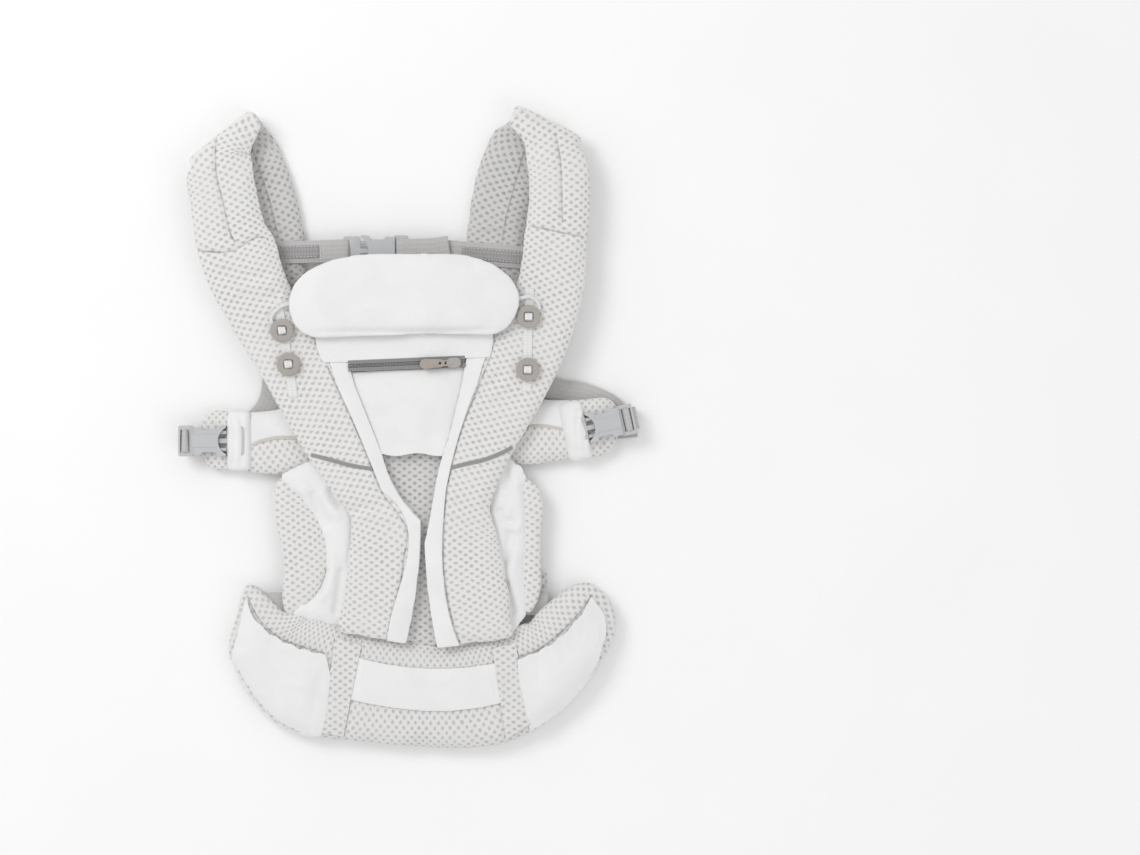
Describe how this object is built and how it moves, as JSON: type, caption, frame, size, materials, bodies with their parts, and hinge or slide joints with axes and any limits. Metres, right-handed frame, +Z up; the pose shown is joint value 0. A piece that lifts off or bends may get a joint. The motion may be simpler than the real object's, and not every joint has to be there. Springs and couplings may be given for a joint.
{
  "type": "soft baby carrier",
  "caption": "Soft structured baby carrier lying flat: padded shoulder straps, mesh body, headrest, waist belt and buckles.",
  "frame": {"origin": "on the table under the middle of the carrier, which lies on its back", "axes": "+Z up off the table, +Y towards the shoulder straps, +X to the right as seen from above"},
  "size_m": [0.5049, 0.704, 0.0574],
  "materials": {
    "smooth_cloth": "smooth matt woven polyester",
    "spacer_mesh": "knitted spacer mesh with small pits",
    "webbing": "woven webbing",
    "buckle_plastic": "moulded acetal, satin",
    "toggle_plastic": "moulded acetal, satin",
    "zip_metal": "champagne nickel plate",
    "zip_tape_cloth": "woven zip tape with a nylon coil",
    "grey_piping": "woven piping",
    "ivory_piping": "covered zip and piping",
    "elastic": "braided elastic"
  },
  "bodies": {
    "root": {"back_panel": "spacer_mesh", "belt_centre_band": "smooth_cloth", "belt_mesh_strips": "spacer_mesh", "chest_buckle_male": "buckle_plastic", "chest_webbing_left": "webbing", "chest_webbing_right": "webbing", "left_gusset_lining": "smooth_cloth", "left_gusset_mesh": "spacer_mesh", "left_hip_pocket": "smooth_cloth", "left_panel_leg": "spacer_mesh", "left_shoulder_pad": "spacer_mesh", "left_shoulder_webbing": "webbing", "left_side_buckle_male": "buckle_plastic", "left_toggle_tape": "smooth_cloth", "left_v_band": "smooth_cloth", "left_wing": "spacer_mesh", "left_wing_cuff": "smooth_cloth", "leg_piping": "grey_piping", "lumbar_pad": "spacer_mesh", "pocket_panel": "smooth_cloth", "right_gusset_lining": "smooth_cloth", "right_gusset_mesh": "spacer_mesh", "right_hip_pocket": "smooth_cloth", "right_panel_leg": "spacer_mesh", "right_shoulder_pad": "spacer_mesh", "right_shoulder_webbing": "webbing", "right_side_buckle_male": "buckle_plastic", "right_toggle_tape": "smooth_cloth", "right_v_band": "smooth_cloth", "right_wing": "spacer_mesh", "right_wing_cuff": "smooth_cloth", "waist_belt_pad": "spacer_mesh", "waist_buckle_male": "buckle_plastic", "waist_webbing_left": "webbing", "waist_webbing_right": "webbing", "wing_piping": "ivory_piping", "yoke": "smooth_cloth", "zip_tape": "zip_tape_cloth"},
    "waist_buckle_socket": {"waist_buckle_female": "buckle_plastic"},
    "waist_buckle_spring_a": {"waist_buckle_arm_a": "buckle_plastic"},
    "waist_buckle_spring_b": {"waist_buckle_arm_b": "buckle_plastic"},
    "chest_buckle_socket": {"chest_buckle_female": "buckle_plastic", "chest_webbing_slack": "webbing"},
    "chest_buckle_spring_a": {"chest_buckle_arm_a": "buckle_plastic"},
    "chest_buckle_spring_b": {"chest_buckle_arm_b": "buckle_plastic"},
    "left_side_buckle_socket": {"left_side_buckle_female": "buckle_plastic"},
    "left_side_buckle_spring_a": {"left_side_buckle_arm_a": "buckle_plastic"},
    "left_side_buckle_spring_b": {"left_side_buckle_arm_b": "buckle_plastic"},
    "right_side_buckle_socket": {"right_side_buckle_female": "buckle_plastic"},
    "right_side_buckle_spring_a": {"right_side_buckle_arm_a": "buckle_plastic"},
    "right_side_buckle_spring_b": {"right_side_buckle_arm_b": "buckle_plastic"},
    "headrest": {"headrest_cushion": "smooth_cloth", "left_headrest_loop": "elastic", "right_headrest_loop": "elastic"},
    "slider": {"zip_slider": "zip_metal"},
    "pull": {"zip_pull": "zip_metal"},
    "left_upper_ring": {"left_upper_toggle": "toggle_plastic"},
    "left_lower_ring": {"left_lower_toggle": "toggle_plastic"},
    "right_upper_ring": {"right_upper_toggle": "toggle_plastic"},
    "right_lower_ring": {"right_lower_toggle": "toggle_plastic"}
  },
  "joints": [
    {"name": "waist_buckle_release", "type": "slide", "parent": "root", "child": "waist_buckle_socket", "axis": [1, 0, 0], "range_m": [0, 0.033]},
    {"name": "waist_buckle_press_a", "type": "hinge", "parent": "root", "child": "waist_buckle_spring_a", "pos_m": [-0.0239, -0.18205, 0.0139], "axis": [0, 0, -1], "range_deg": [0, 7], "stiffness_Nm_per_rad": 0.4},
    {"name": "waist_buckle_press_b", "type": "hinge", "parent": "root", "child": "waist_buckle_spring_b", "pos_m": [-0.0239, -0.20195, 0.0139], "axis": [0, 0, 1], "range_deg": [0, 7], "stiffness_Nm_per_rad": 0.4},
    {"name": "chest_buckle_release", "type": "slide", "parent": "root", "child": "chest_buckle_socket", "axis": [1, 0, 0], "range_m": [0, 0.033]},
    {"name": "chest_buckle_press_a", "type": "hinge", "parent": "root", "child": "chest_buckle_spring_a", "pos_m": [-0.0519, 0.20795, 0.0154], "axis": [0, 0, -1], "range_deg": [0, 7], "stiffness_Nm_per_rad": 0.4},
    {"name": "chest_buckle_press_b", "type": "hinge", "parent": "root", "child": "chest_buckle_spring_b", "pos_m": [-0.0519, 0.18805, 0.0154], "axis": [0, 0, 1], "range_deg": [0, 7], "stiffness_Nm_per_rad": 0.4},
    {"name": "left_side_buckle_release", "type": "slide", "parent": "root", "child": "left_side_buckle_socket", "axis": [-1, 0, 0], "range_m": [0, 0.033]},
    {"name": "left_side_buckle_press_a", "type": "hinge", "parent": "root", "child": "left_side_buckle_spring_a", "pos_m": [-0.1991, -0.02195, 0.0259], "axis": [0, 0, -1], "range_deg": [0, 7], "stiffness_Nm_per_rad": 0.4},
    {"name": "left_side_buckle_press_b", "type": "hinge", "parent": "root", "child": "left_side_buckle_spring_b", "pos_m": [-0.1991, -0.00205, 0.0259], "axis": [0, 0, 1], "range_deg": [0, 7], "stiffness_Nm_per_rad": 0.4},
    {"name": "right_side_buckle_release", "type": "slide", "parent": "root", "child": "right_side_buckle_socket", "axis": [0.9781, 0.2079, 0], "range_m": [0, 0.033]},
    {"name": "right_side_buckle_press_a", "type": "hinge", "parent": "root", "child": "right_side_buckle_spring_a", "pos_m": [0.19603, 0.01175, 0.0259], "axis": [0, 0, -1], "range_deg": [0, 7], "stiffness_Nm_per_rad": 0.4},
    {"name": "right_side_buckle_press_b", "type": "hinge", "parent": "root", "child": "right_side_buckle_spring_b", "pos_m": [0.20017, -0.00771, 0.0259], "axis": [0, 0, 1], "range_deg": [0, 7], "stiffness_Nm_per_rad": 0.4},
    {"name": "headrest_fold", "type": "hinge", "parent": "root", "child": "headrest", "pos_m": [0, 0.1, 0.0518], "axis": [1, 0, 0], "range_deg": [0, 165]},
    {"name": "pocket_zip_slide", "type": "slide", "parent": "root", "child": "slider", "axis": [-0.999, -0.0447, 0], "range_m": [0, 0.1]},
    {"name": "zip_pull_flip", "type": "hinge", "parent": "slider", "child": "pull", "pos_m": [0.04802, 0.07361, 0.0459], "axis": [-0.0447, 0.999, 0], "range_deg": [0, 180]},
    {"name": "left_upper_toggle_tilt", "type": "hinge", "parent": "root", "child": "left_upper_ring", "pos_m": [-0.136, 0.109, 0.0455], "axis": [0, 1, 0], "range_deg": [-10, 10], "stiffness_Nm_per_rad": 0.01},
    {"name": "left_lower_toggle_tilt", "type": "hinge", "parent": "root", "child": "left_lower_ring", "pos_m": [-0.129, 0.072, 0.0455], "axis": [0, 1, 0], "range_deg": [-10, 10], "stiffness_Nm_per_rad": 0.01},
    {"name": "right_upper_toggle_tilt", "type": "hinge", "parent": "root", "child": "right_upper_ring", "pos_m": [0.134, 0.124, 0.0455], "axis": [0, 1, 0], "range_deg": [-10, 10], "stiffness_Nm_per_rad": 0.01},
    {"name": "right_lower_toggle_tilt", "type": "hinge", "parent": "root", "child": "right_lower_ring", "pos_m": [0.133, 0.066, 0.0455], "axis": [0, 1, 0], "range_deg": [-10, 10], "stiffness_Nm_per_rad": 0.01}
  ],
  "couplings": [
    {"joint": "waist_buckle_press_b", "follows": "waist_buckle_press_a", "ratio": 1},
    {"joint": "chest_buckle_press_b", "follows": "chest_buckle_press_a", "ratio": 1},
    {"joint": "left_side_buckle_press_b", "follows": "left_side_buckle_press_a", "ratio": 1},
    {"joint": "right_side_buckle_press_b", "follows": "right_side_buckle_press_a", "ratio": 1}
  ]
}
